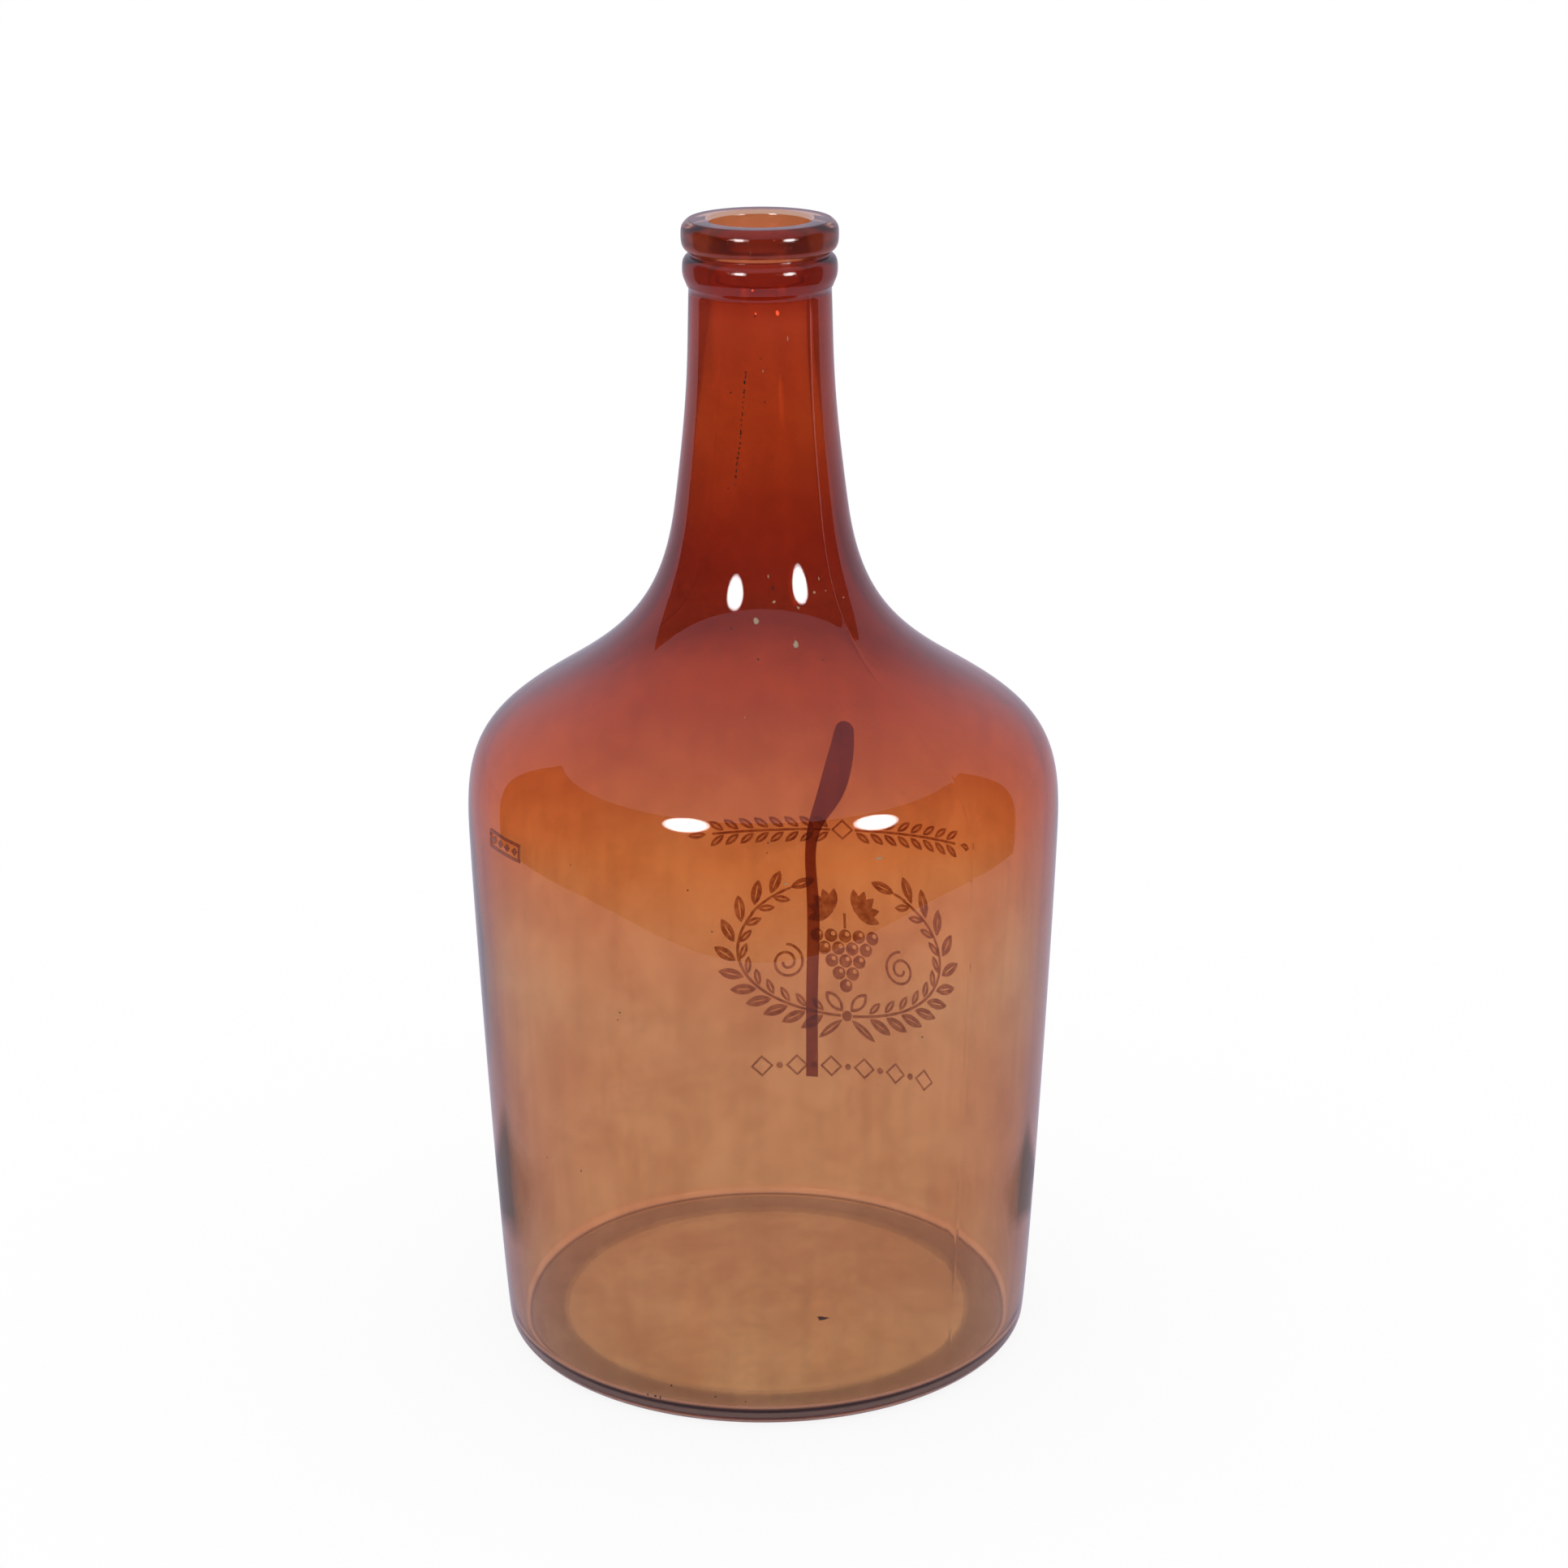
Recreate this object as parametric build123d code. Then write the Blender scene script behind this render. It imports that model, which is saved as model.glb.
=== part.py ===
from build123d import *
from math import atan2, cos, degrees, radians, sin
import os

# A blown glass demijohn: a clear glass body with a tall neck and a mouth of two rings,
# a see-through tint that lines its inside, a dark run of the same tint that dried on the
# printed wall, and a one-colour print on the outside of that wall.
# Millimetres, +Z up, origin on the resting plane under the middle of the base.
# The print looks towards -Y. A leaning angle is measured from the vertical, inwards.

os.makedirs("parts", exist_ok=True)

# Outside of the glass
overall_height = 350.0
foot_radius = 82.1
foot_lean = -5.5
heel_radius = 5.0
body_radius = 90.2
body_height = 169.5
shoulder_radius = 62.7
shoulder_height = 211.7
shoulder_lean = 58.0
flare_radius = 25.8
flare_height = 265.7
flare_lean = 7.5
neck_radius = 21.0
neck_lean = 1.8

# How far each curve keeps its end directions, as shares of the straight way between its ends
wall_hold_shares = (0.18, 0.09)
shoulder_hold_shares = (0.47, 0.50)
flare_hold_shares = (0.44, 0.41)
neck_hold_shares = (0.54, 0.35)
ring_hold_shares = (0.45, 0.45)

# Thickness of the glass, and the corner and the crown of the floor inside
wall_thickness = 3.2
base_thickness = 3.6
floor_corner_radius = 3.6
floor_hold_shares = (0.5, 0.85)

# Underside: a flat bearing ring round a shallow dome
bearing_width = 11.6
dome_step_width = 3.0
dome_rise = 1.2
dome_crown = 2.0

# Mouth: two rings of glass on a straight sleeve, round a straight bore
bore_radius = 15.0
bore_length = 20.0
mouth_rounding = 1.2
sleeve_radius = 20.7
lip_ring_height = 9.5
lip_ring_radius = 23.1
lip_land_radius = 21.6
lip_crest_share = 0.56
lip_leans = (-62.0, 48.0)
string_ring_height = 9.3
string_ring_radius = 22.8
string_step = 0.5
string_crest_share = 0.52
string_leans = (-20.0, 62.0)
ring_gap = 0.5

# Tint lining and the run that dried on it
lining_thickness = 0.2
run_thickness = 0.25
run_clearance = 0.05
run_top_height = 169.0
run_length = 123.0
run_drift = 11.0
run_blob_width = 9.0
run_stream_width = 4.0
run_fall_shares = (0.015, 0.1, 0.195, 0.28, 0.49, 0.72, 1.0)
run_drift_shares = (0.02, 0.23, 0.56, 0.97, 1.0, 0.98, 0.93)
run_swell_shares = (0.42, 1.0, 0.92, 0.16, 0.02, 0.0, 0.02)

# Print on the outside of the wall: film, tilt and line widths
ink_thickness = 0.2
print_tilt = 2.5
line_width = 0.9
line_gap = 0.4

# Crest: an open wreath of paired leaves, tied with a bow, round a bunch of grapes
crest_height = 91.0
wreath_width = 76.0
wreath_height = 47.0
wreath_end_angle = 62.0
wreath_leaf_length = 9.2
wreath_leaf_width = 3.7
wreath_leaf_pitch = 6.4
wreath_leaf_splay = 38.0
inner_leaf_share = 0.66
vein_width = 0.45
vein_share = 0.66
grape_radius = 2.3
grape_shine_radius = 0.8
grape_rows = 5
bunch_rise = 4.5
bunch_stem_length = 5.0
palm_finger_length = 8.6
palm_finger_width = 3.4
palm_fingers = 5
palm_spread = 112.0
palm_offset = 4.6
palm_rise = 12.0
palm_lean = 48.0
tendril_radius = 6.2
tendril_turns = 1.75
tendril_core_share = 0.2
tendril_offset = 21.0
tendril_rise = -5.0
bow_loop_length = 9.0
bow_loop_width = 4.6
bow_tail_length = 11.0
bow_tail_width = 2.8
bow_loop_lean = 42.0
bow_tail_lean = 128.0
bow_knot_radius = 1.8

# Borders above and below the crest, by their distance from the wreath
upper_border_gap = 19.0
upper_border_length = 104.0
border_leaf_length = 6.2
border_leaf_width = 2.6
border_leaf_pitch = 5.0
border_leaf_splay = 38.0
lower_border_gap = 18.0
lower_border_length = 75.0
lozenge_length = 8.0
lozenge_width = 7.6
lozenge_pitch = 12.4
bead_radius = 1.1

# Fine ridges that the two halves of the mould left, half a turn apart
seam_angle = 60.7
seam_width = 0.7
seam_relief = 0.25

# Raised mark on the shoulder, away from the print
mark_angle = 141.0
mark_height = 174.0
mark_length = 18.0
mark_width = 5.5
mark_relief = 0.4
mark_line = 0.8
mark_lozenges = 4
mark_lozenge_share = 0.62

# Lengths that follow from the sizes above
bearing_radius = foot_radius - heel_radius * cos(radians(foot_lean))
foot_height = heel_radius * (1 + sin(radians(foot_lean)))
dome_radius = bearing_radius - bearing_width
neck_top = overall_height - lip_ring_height - ring_gap - string_ring_height
lining_bore_top = overall_height - mouth_rounding
glass_bore_radius = bore_radius + lining_thickness
print_radius = (foot_radius + body_radius) / 2


def lean_way(lean):
    """Direction of a curve that leans inwards by an angle from the vertical."""
    return Vector(-sin(radians(lean)), 0, cos(radians(lean)))


def side_joints(inset):
    """Places and leans where the curves of the side meet, moved into the glass by inset."""
    joints = [
        (foot_radius, foot_height, foot_lean),
        (body_radius, body_height, 0.0),
        (shoulder_radius, shoulder_height, shoulder_lean),
        (flare_radius, flare_height, flare_lean),
        (neck_radius, neck_top, neck_lean),
    ]
    return [
        (Vector(r - inset * cos(radians(lean)), 0, z - inset * sin(radians(lean))), lean)
        for r, z, lean in joints
    ]


def leaning_points(low, low_lean, high, high_lean, holds):
    """The four points of a curve that starts and ends along its leans."""
    way = (high - low).length
    out = low + lean_way(low_lean) * way * holds[0]
    back = high - lean_way(high_lean) * way * holds[1]
    return [low, out, back, high]


def side_points(joints):
    """The points of each curve of the side through its joints, from the heel upwards."""
    holds = (wall_hold_shares, shoulder_hold_shares, flare_hold_shares, neck_hold_shares)
    return [
        leaning_points(*low, *high, hold)
        for low, high, hold in zip(joints, joints[1:], holds)
    ]


def side_curves(joints):
    """The side of the bottle through its joints, as curves."""
    return [Bezier(*points) for points in side_points(joints)]


def beside(points, gap):
    """The points of the curve that runs a gap outside another one, each leg kept parallel."""
    legs = [(b - a).normalized() for a, b in zip(points, points[1:])]
    sides = [Vector(leg.Z, 0, -leg.X) for leg in legs]
    pairs = zip(points, [sides[0]] + sides, sides + [sides[-1]])
    return [point + (a + b) * (gap / (1 + a.dot(b))) for point, a, b in pairs]


def at(radius, height):
    """A point of an outline in the XZ plane."""
    return Vector(radius, 0, height)


def spun(edges):
    """The solid of revolution of a closed outline round the axis."""
    return revolve(make_face(Wire(edges)), Axis.Z)


def outer_edges():
    """Underside, heel and side of the glass, from the axis to the neck top."""
    heel_middle = at(bearing_radius, heel_radius)
    heel_turn = radians((90 + foot_lean) / 2)
    heel_mid = heel_middle + Vector(sin(heel_turn), 0, -cos(heel_turn)) * heel_radius
    dome_top = at(0, dome_rise + dome_crown)
    dome_edge = at(dome_radius - dome_step_width, dome_rise)
    step_middle = dome_radius - dome_step_width / 2
    bearing_in = at(dome_radius, 0)
    bearing_out = at(bearing_radius, 0)
    return [
        Bezier(dome_top, at(dome_edge.X / 2, dome_top.Z), at(step_middle, dome_rise), dome_edge),
        Bezier(dome_edge, at(step_middle, dome_rise), at(step_middle, 0), bearing_in),
        Line(bearing_in, bearing_out),
        ThreePointArc(bearing_out, heel_mid, side_joints(0)[0][0]),
    ] + side_curves(side_joints(0))


def inner_edges(inset, bore):
    """Floor, corner, side and bore of the inside, from the axis to the lining's top."""
    joints = side_joints(wall_thickness + inset)
    floor_height = base_thickness + inset
    wall_radius = joints[0][0].X
    corner_in = at(wall_radius - floor_corner_radius * cos(radians(foot_lean)), floor_height)
    corner_middle = corner_in + at(0, floor_corner_radius)
    corner_turn = radians((90 + foot_lean) / 2)
    corner_mid = corner_middle + at(sin(corner_turn), -cos(corner_turn)) * floor_corner_radius
    corner_top = at(wall_radius, corner_middle.Z + floor_corner_radius * sin(radians(foot_lean)))
    middle = at(0, floor_height + dome_rise + dome_crown)
    crown_out, crown_back = (corner_in.X * share for share in floor_hold_shares)
    bore_foot = at(bore, overall_height - bore_length)
    edges = [
        Bezier(middle, at(crown_out, middle.Z), at(crown_back, floor_height), corner_in),
        ThreePointArc(corner_in, corner_mid, corner_top),
    ]
    edges += side_curves([(corner_top, foot_lean)] + joints[1:4] + [(bore_foot, 0)])
    return edges + [Line(bore_foot, at(bore, lining_bore_top))]


def layer(inset, bore, thickness):
    """A layer on the inside of the glass, from the floor up to just below the mouth."""
    outer = inner_edges(inset, bore)
    inner = inner_edges(inset + thickness, bore - thickness)
    closing = [Line(outer[0] @ 0, inner[0] @ 0), Line(outer[-1] @ 1, inner[-1] @ 1)]
    return spun(outer + inner + closing)


def glass_body():
    """Body, neck and the sleeve under the rings, hollow and open at the mouth."""
    seat = at(sleeve_radius, neck_top)
    sleeve_top = at(sleeve_radius, overall_height)
    mouth_out = at(glass_bore_radius + mouth_rounding, overall_height)
    mouth_in = at(glass_bore_radius, lining_bore_top)
    drop = mouth_rounding * sin(radians(45))
    mouth_mid = at(mouth_out.X - drop, mouth_in.Z + drop)
    inside = inner_edges(0, glass_bore_radius)
    edges = outer_edges() + [
        Line(side_joints(0)[-1][0], seat),
        Line(seat, sleeve_top),
        Line(sleeve_top, mouth_out),
        ThreePointArc(mouth_out, mouth_mid, mouth_in),
        Line(inside[0] @ 0, at(0, dome_rise + dome_crown)),
    ]
    return spun(edges + inside)


def ring(foot_height, foot, crest, crest_height, land, top, leans):
    """A ring of glass on the sleeve, from its underside over its crest to its top."""
    low = at(foot, foot_height)
    widest = at(crest, crest_height)
    high = at(land, top)
    seat_low = at(sleeve_radius, foot_height)
    seat_high = at(sleeve_radius, top)
    edges = [
        Bezier(*leaning_points(low, leans[0], widest, 0, ring_hold_shares)),
        Bezier(*leaning_points(widest, 0, high, leans[1], ring_hold_shares)),
        Line(seat_high, seat_low),
    ]
    if land > sleeve_radius:
        edges.append(Line(high, seat_high))
    if foot > sleeve_radius:
        edges.append(Line(seat_low, low))
    return spun(edges)


def lip_ring():
    """The upper ring, flush with the top of the sleeve."""
    low = overall_height - lip_ring_height
    crest = low + lip_ring_height * lip_crest_share
    return ring(low, sleeve_radius, lip_ring_radius, crest, lip_land_radius, overall_height, lip_leans)


def string_ring():
    """The lower ring, which stands a small step out over the neck."""
    crest = neck_top + string_ring_height * string_crest_share
    foot = neck_radius + string_step
    top = neck_top + string_ring_height
    return ring(neck_top, foot, string_ring_radius, crest, sleeve_radius, top, string_leans)


def tint_lining():
    """The see-through tint that covers the inside from the floor to the mouth."""
    return layer(0, glass_bore_radius, lining_thickness)


def tint_run():
    """The run of thick tint on the inside of the printed wall: a blob with a stream below."""
    left = []
    right = []
    for fall, drift, swell in zip(run_fall_shares, run_drift_shares, run_swell_shares):
        middle = run_drift * drift
        half = (run_stream_width + (run_blob_width - run_stream_width) * swell) / 2
        height = run_top_height - run_length * fall
        left.append((middle - half, height))
        right.append((middle + half, height))
    tip = (run_drift * run_drift_shares[0], run_top_height)
    shape = make_face([
        Spline(*left),
        Spline(*right),
        Line(left[-1], right[-1]),
        ThreePointArc(left[0], tip, right[0]),
    ])
    inset = lining_thickness + run_clearance
    return prism(shape) & layer(inset, bore_radius - run_clearance, run_thickness)


def skin(thickness):
    """A thin shell on the outside of the glass, from the heel to the string ring."""
    inner = side_points(side_joints(0))
    outer = [beside(points, thickness) for points in inner]
    edges = [Bezier(*points) for points in inner + outer]
    edges += [Line(inner[0][0], outer[0][0]), Line(inner[-1][-1], outer[-1][-1])]
    return spun(edges)


def prism(shape, short=foot_radius / 2):
    """A flat shape pushed straight through the -Y side of the wall, short of the axis."""
    front = Plane(origin=(0, -overall_height, 0), x_dir=(1, 0, 0), z_dir=(0, -1, 0))
    return extrude(front * shape, short - overall_height)


def tilted(across, up):
    """A place on the print, turned by the tilt about the middle of the crest."""
    turn = radians(print_tilt)
    return across * cos(turn) + up * sin(turn), up * cos(turn) - across * sin(turn)


def stamp(shape, across, up, turn=0.0):
    """A small shape at a place on the print, square to the wall there, as a prism."""
    way, rise = tilted(across, up)
    placed = Pos(0, crest_height + rise) * Rot(0, 0, turn - print_tilt) * shape
    return Rot(0, 0, degrees(way / print_radius)) * prism(placed)


def printed(prisms):
    """The solids that prisms cut out of the film of ink."""
    film = skin(ink_thickness)
    solids = []
    for one in prisms:
        solids += (one & film).solids()
    return Compound(children=solids)


def blade(length, width):
    """A pointed oval that starts at the origin and points along +X."""
    upper = ThreePointArc((0, 0), (length / 2, width / 2), (length, 0))
    lower = ThreePointArc((length, 0), (length / 2, -width / 2), (0, 0))
    return make_face([upper, lower])


def leaf(length, width):
    """A pointed leaf with a bare vein along its middle."""
    vein = blade(length * vein_share, vein_width)
    return blade(length, width) - Pos(length * (1 - vein_share) / 2, 0) * vein


def lozenge(length, width):
    """A lozenge outline with its long way along X, hollow by the line width."""
    def outline(inset):
        shrink = 1 - 2 * inset / min(length, width)
        half, rise = length / 2 * shrink, width / 2 * shrink
        return make_face(Polyline((half, 0), (0, rise), (-half, 0), (0, -rise), close=True))
    return outline(0) - outline(line_width)


def band(places):
    """A line of ink along places of the print, one line width wide."""
    flat = []
    for across, up in places:
        way, rise = tilted(across, up)
        flat.append((print_radius * sin(way / print_radius), crest_height + rise))
    sides = []
    for side in (1, -1):
        points = []
        for i, (x, y) in enumerate(flat):
            x0, y0 = flat[max(i - 1, 0)]
            x1, y1 = flat[min(i + 1, len(flat) - 1)]
            heading = atan2(y1 - y0, x1 - x0)
            reach = side * line_width / 2
            points.append((x - reach * sin(heading), y + reach * cos(heading)))
        sides.append(points)
    ends = [Line(sides[0][0], sides[1][0]), Line(sides[0][-1], sides[1][-1])]
    return prism(make_face([Spline(*sides[0]), Spline(*sides[1])] + ends))


def wreath_place(angle, hand):
    """Place and heading of a wreath branch at an angle that grows from the bow upwards."""
    turn = radians(angle)
    across = wreath_width / 2 * cos(turn)
    up = wreath_height / 2 * sin(turn)
    heading = degrees(atan2(wreath_height / 2 * cos(turn), -wreath_width / 2 * sin(turn)))
    return (hand * across, up), 90 - hand * (90 - heading)


def even_angles(first, last, pitch):
    """Angles along a wreath branch that lie one pitch apart on the ink."""
    angles = [first]
    while angles[-1] < last:
        turn = radians(angles[-1])
        speed = radians(1) * Vector(wreath_width * sin(turn), wreath_height * cos(turn)).length / 2
        angles.append(angles[-1] + pitch / speed)
    return angles[:-1]


def wreath_branch(hand):
    """One branch of the wreath: its stem, paired leaves and a leaf at its tip."""
    knot = degrees((bow_knot_radius + line_gap) / (wreath_width / 2))
    angles = even_angles(knot - 90, wreath_end_angle, wreath_leaf_pitch)
    prisms = [band([wreath_place(angle, hand)[0] for angle in angles])]
    outer_leaf = leaf(wreath_leaf_length, wreath_leaf_width)
    inner_leaf = leaf(wreath_leaf_length * inner_leaf_share, wreath_leaf_width * inner_leaf_share)
    out = line_width / 2 + line_gap
    for angle in angles[1:-1]:
        (across, up), heading = wreath_place(angle, hand)
        for side, shape in ((-hand, outer_leaf), (hand, inner_leaf)):
            way = radians(heading + side * 90)
            place = (across + out * cos(way), up + out * sin(way))
            prisms.append(stamp(shape, *place, heading + side * wreath_leaf_splay))
    (across, up), heading = wreath_place(angles[-1], hand)
    way = radians(heading)
    place = (across + line_gap * cos(way), up + line_gap * sin(way))
    prisms.append(stamp(outer_leaf, *place, heading))
    return printed(prisms)


def wreath_bow():
    """The bow that ties the branches: a knot, two open loops and two tails."""
    low = -wreath_height / 2
    reach = bow_knot_radius + line_gap
    prisms = [stamp(Circle(bow_knot_radius), 0, low)]
    hole = blade(bow_loop_length - 3 * line_width, bow_loop_width - 2 * line_width)
    loop = blade(bow_loop_length, bow_loop_width) - Pos(1.5 * line_width, 0) * hole
    tail = leaf(bow_tail_length, bow_tail_width)
    for shape, lean in ((loop, bow_loop_lean), (tail, bow_tail_lean)):
        for hand in (1, -1):
            turn = 90 - hand * lean
            way = radians(turn)
            prisms.append(stamp(shape, reach * cos(way), low + reach * sin(way), turn))
    return printed(prisms)


def grapes():
    """A bunch of grapes that narrows downwards, each with a bare shine, and its stem."""
    shine = Pos(-grape_radius / 3, grape_radius / 3) * Circle(grape_shine_radius)
    grape = Circle(grape_radius) - shine
    pitch = 2 * grape_radius + line_gap
    prisms = []
    for row in range(grape_rows):
        count = grape_rows - row
        up = bunch_rise - row * pitch * sin(radians(60))
        for i in range(count):
            prisms.append(stamp(grape, (i - (count - 1) / 2) * pitch, up))
    stem_foot = bunch_rise + grape_radius + line_gap
    prisms.append(band([(0, stem_foot), (0, stem_foot + bunch_stem_length)]))
    return printed(prisms)


def palm_leaf():
    """A vine leaf as pointed fingers that spread from the foot of the leaf."""
    finger = blade(palm_finger_length, palm_finger_width)
    step = palm_spread / (palm_fingers - 1)
    shape = finger
    for i in range(palm_fingers):
        shape += Rot(0, 0, i * step - palm_spread / 2) * finger
    return shape


def vine_leaves():
    """Two vine leaves over the bunch, one to each side."""
    shape = palm_leaf()
    prisms = []
    for hand in (1, -1):
        prisms.append(stamp(shape, hand * palm_offset, palm_rise, 90 - hand * palm_lean))
    return printed(prisms)


def tendrils():
    """Two curled tendrils beside the bunch."""
    steps = int(tendril_turns * 12)
    prisms = []
    for hand in (1, -1):
        places = []
        for i in range(steps + 1):
            turn = radians(90 + 360 * tendril_turns * i / steps)
            reach = tendril_radius * (1 - (1 - tendril_core_share) * i / steps)
            across = hand * (tendril_offset + reach * cos(turn))
            places.append((across, tendril_rise + reach * sin(turn)))
        prisms.append(band(places))
    return printed(prisms)


def upper_border():
    """A sprig above the crest: a lozenge between two rules with paired leaves."""
    up = wreath_height / 2 + upper_border_gap
    prisms = [stamp(lozenge(lozenge_length, lozenge_width), 0, up)]
    start = lozenge_length / 2 + line_gap
    reach = upper_border_length / 2
    pairs = int((reach - start) / border_leaf_pitch)
    leaf_shape = leaf(border_leaf_length, border_leaf_width)
    out = line_width / 2 + line_gap
    for hand in (1, -1):
        stem_end = reach - border_leaf_length - line_gap
        prisms.append(band([(hand * start, up), (hand * stem_end, up)]))
        prisms.append(stamp(leaf_shape, hand * (stem_end + line_gap), up, 90 - hand * 90))
        for i in range(pairs - 1):
            across = hand * (start + line_gap + i * border_leaf_pitch)
            for side in (1, -1):
                turn = 90 - hand * (90 - side * border_leaf_splay)
                prisms.append(stamp(leaf_shape, across, up + side * out, turn))
    return printed(prisms)


def lower_border():
    """A row of open lozenges under the crest, with a bead between each two."""
    up = -wreath_height / 2 - lower_border_gap
    gaps = int((lower_border_length - lozenge_length) / lozenge_pitch)
    prisms = []
    for i in range(gaps + 1):
        across = (i - gaps / 2) * lozenge_pitch
        prisms.append(stamp(lozenge(lozenge_length, lozenge_width), across, up))
        if i < gaps:
            prisms.append(stamp(Circle(bead_radius), across + lozenge_pitch / 2, up))
    return printed(prisms)


def mould_seams():
    """The two ridges along the joint of the mould, from the heel to the string ring."""
    strip = prism(Pos(0, neck_top / 2) * Rectangle(seam_width, neck_top), 0)
    relief = skin(seam_relief)
    turns = (seam_angle, seam_angle - 180)
    return Compound(children=[(Rot(0, 0, turn) * strip & relief).solid() for turn in turns])


def shoulder_mark():
    """A raised bar with open lozenges, moulded on the shoulder away from the print."""
    frame = Rectangle(mark_length, mark_width)
    frame -= Rectangle(mark_length - 2 * mark_line, mark_width - 2 * mark_line)
    pitch = (mark_length - 2 * mark_line) / mark_lozenges
    rise = (mark_width - 2 * mark_line) * mark_lozenge_share
    shape = [frame]
    for i in range(mark_lozenges):
        across = (i - (mark_lozenges - 1) / 2) * pitch
        half = pitch * mark_lozenge_share / 2
        corners = ((half, 0), (0, rise / 2), (-half, 0), (0, -rise / 2))
        shape.append(Pos(across, 0) * make_face(Polyline(*corners, close=True)))
    relief = skin(mark_relief)
    solids = []
    for one in shape:
        cut = Rot(0, 0, mark_angle) * prism(Pos(0, mark_height) * one)
        solids += (cut & relief).solids()
    return Compound(children=solids)


parts = {
    "glass_body": glass_body(),
    "lip_ring": lip_ring(),
    "string_ring": string_ring(),
    "tint_lining": tint_lining(),
    "tint_run": tint_run(),
    "ink_wreath_right": wreath_branch(1),
    "ink_wreath_left": wreath_branch(-1),
    "ink_bow": wreath_bow(),
    "ink_grapes": grapes(),
    "ink_vine_leaves": vine_leaves(),
    "ink_tendrils": tendrils(),
    "ink_upper_border": upper_border(),
    "ink_lower_border": lower_border(),
    "mould_seams": mould_seams(),
    "shoulder_mark": shoulder_mark(),
}
for name, solid in parts.items():
    export_step(solid, f"parts/{name}.step")
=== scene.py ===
import bpy
import numpy as np
from math import cos, pi, radians, sin
from mathutils import Matrix, Vector


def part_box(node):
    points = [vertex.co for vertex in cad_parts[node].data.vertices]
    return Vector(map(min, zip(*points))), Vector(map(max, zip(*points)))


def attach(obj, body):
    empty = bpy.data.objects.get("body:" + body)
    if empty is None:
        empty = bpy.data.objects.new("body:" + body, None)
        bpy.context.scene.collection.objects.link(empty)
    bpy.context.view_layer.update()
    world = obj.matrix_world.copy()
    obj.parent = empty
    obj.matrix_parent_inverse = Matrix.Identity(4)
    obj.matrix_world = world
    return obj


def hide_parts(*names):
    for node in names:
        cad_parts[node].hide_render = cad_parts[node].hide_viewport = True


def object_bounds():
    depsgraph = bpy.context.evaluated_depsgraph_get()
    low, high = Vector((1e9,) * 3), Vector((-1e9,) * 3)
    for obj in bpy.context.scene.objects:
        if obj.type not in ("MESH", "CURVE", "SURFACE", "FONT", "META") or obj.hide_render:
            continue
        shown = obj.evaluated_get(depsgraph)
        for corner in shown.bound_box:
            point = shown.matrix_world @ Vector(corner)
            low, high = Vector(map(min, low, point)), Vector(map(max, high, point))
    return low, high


# A blown glass demijohn: one skin of clear glass with a two-ringed mouth, a see-through tint
# inside the glass that deepens from the base to the neck, a dark run of that tint, and a
# one-colour print on the far wall. Metres, +Z up, the print looks towards -Y. Leans, turns and
# tilts are in degrees.

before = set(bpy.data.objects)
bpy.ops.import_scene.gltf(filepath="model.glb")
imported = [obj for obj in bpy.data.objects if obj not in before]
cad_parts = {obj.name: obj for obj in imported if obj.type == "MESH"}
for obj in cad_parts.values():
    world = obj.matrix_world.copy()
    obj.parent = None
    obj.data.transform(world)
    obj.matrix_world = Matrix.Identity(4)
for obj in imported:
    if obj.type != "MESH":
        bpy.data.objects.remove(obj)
cad_low, cad_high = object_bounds()
scene = bpy.context.scene
MM = 0.001

# Outside of the glass: radius, height and inward lean of each joint of the side
HEIGHT = cad_high.z - cad_low.z
BODY_RADIUS = (cad_high.x - cad_low.x) / 2
BODY_HEIGHT = 169.5 * MM
FOOT_RADIUS = 82.1 * MM
FOOT_LEAN = -5.5
HEEL_RADIUS = 5 * MM
SHOULDER = (62.7 * MM, 211.7 * MM, 58)
FLARE = (25.8 * MM, 265.7 * MM, 7.5)
NECK_RADIUS = 21 * MM
NECK_LEAN = 1.8
# Length of each curve's two handles, as shares of its chord, from the foot to the neck
HOLD_SHARES = ((0.18, 0.09), (0.47, 0.50), (0.44, 0.41), (0.54, 0.35))

# Underside, floor and wall
BEARING_WIDTH = 11.6 * MM
DOME_STEP = 8 * MM
DOME_RISE = 0.3 * MM
DOME_CROWN = 2 * MM
DOME_POWER = 1.5
FLOOR_CROWN = 3.2 * MM
BASE_THICKNESS = 3.6 * MM
FLOOR_CORNER = 3.6 * MM
FLOOR_HOLD_SHARES = (0.5, 0.85)
WALL = 3.2 * MM
# The tint's own solids lie this deep in the glass, so that they show as colour alone
TINT_COVER = 0.6 * MM

# Mouth: bore and land, then the string ring and the lip ring, each from its foot to its top
SLEEVE_RADIUS = 20.7 * MM
BORE_RADIUS = 14.9 * MM
BORE_LENGTH = 20 * MM
MOUTH_ROUNDING = 1.5 * MM
LAND_RADIUS = 21.6 * MM
LAND_ROUNDING = 0.9 * MM
LAND_START = 42
STRING_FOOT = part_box("string_ring")[0].z
STRING_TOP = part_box("string_ring")[1].z
STRING_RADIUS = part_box("string_ring")[1].x
STRING_STEP = 0.5 * MM
STRING_CREST_SHARE = 0.52
STRING_LEANS = (-20, 62)
LIP_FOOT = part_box("lip_ring")[0].z
LIP_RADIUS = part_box("lip_ring")[1].x
LIP_CREST_SHARE = 0.56
LIP_LEANS = (-62, 48)
RING_HOLDS = (0.45, 0.45)

# Mould seam: turn from -Y, width and height of the ridge, which is worn down below the neck,
# and the lines across it: how many, how far out and how close, in shares of its width
SEAM_TURN = 60.7
SEAM_WIDTH = 0.9 * MM
SEAM_RELIEF = 0.2 * MM
SEAM_WORN_SHARE = 0.15
SEAM_LINES = 11
SEAM_REACH = 2.5
SEAM_CLOSEST = 1 / 12

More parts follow.
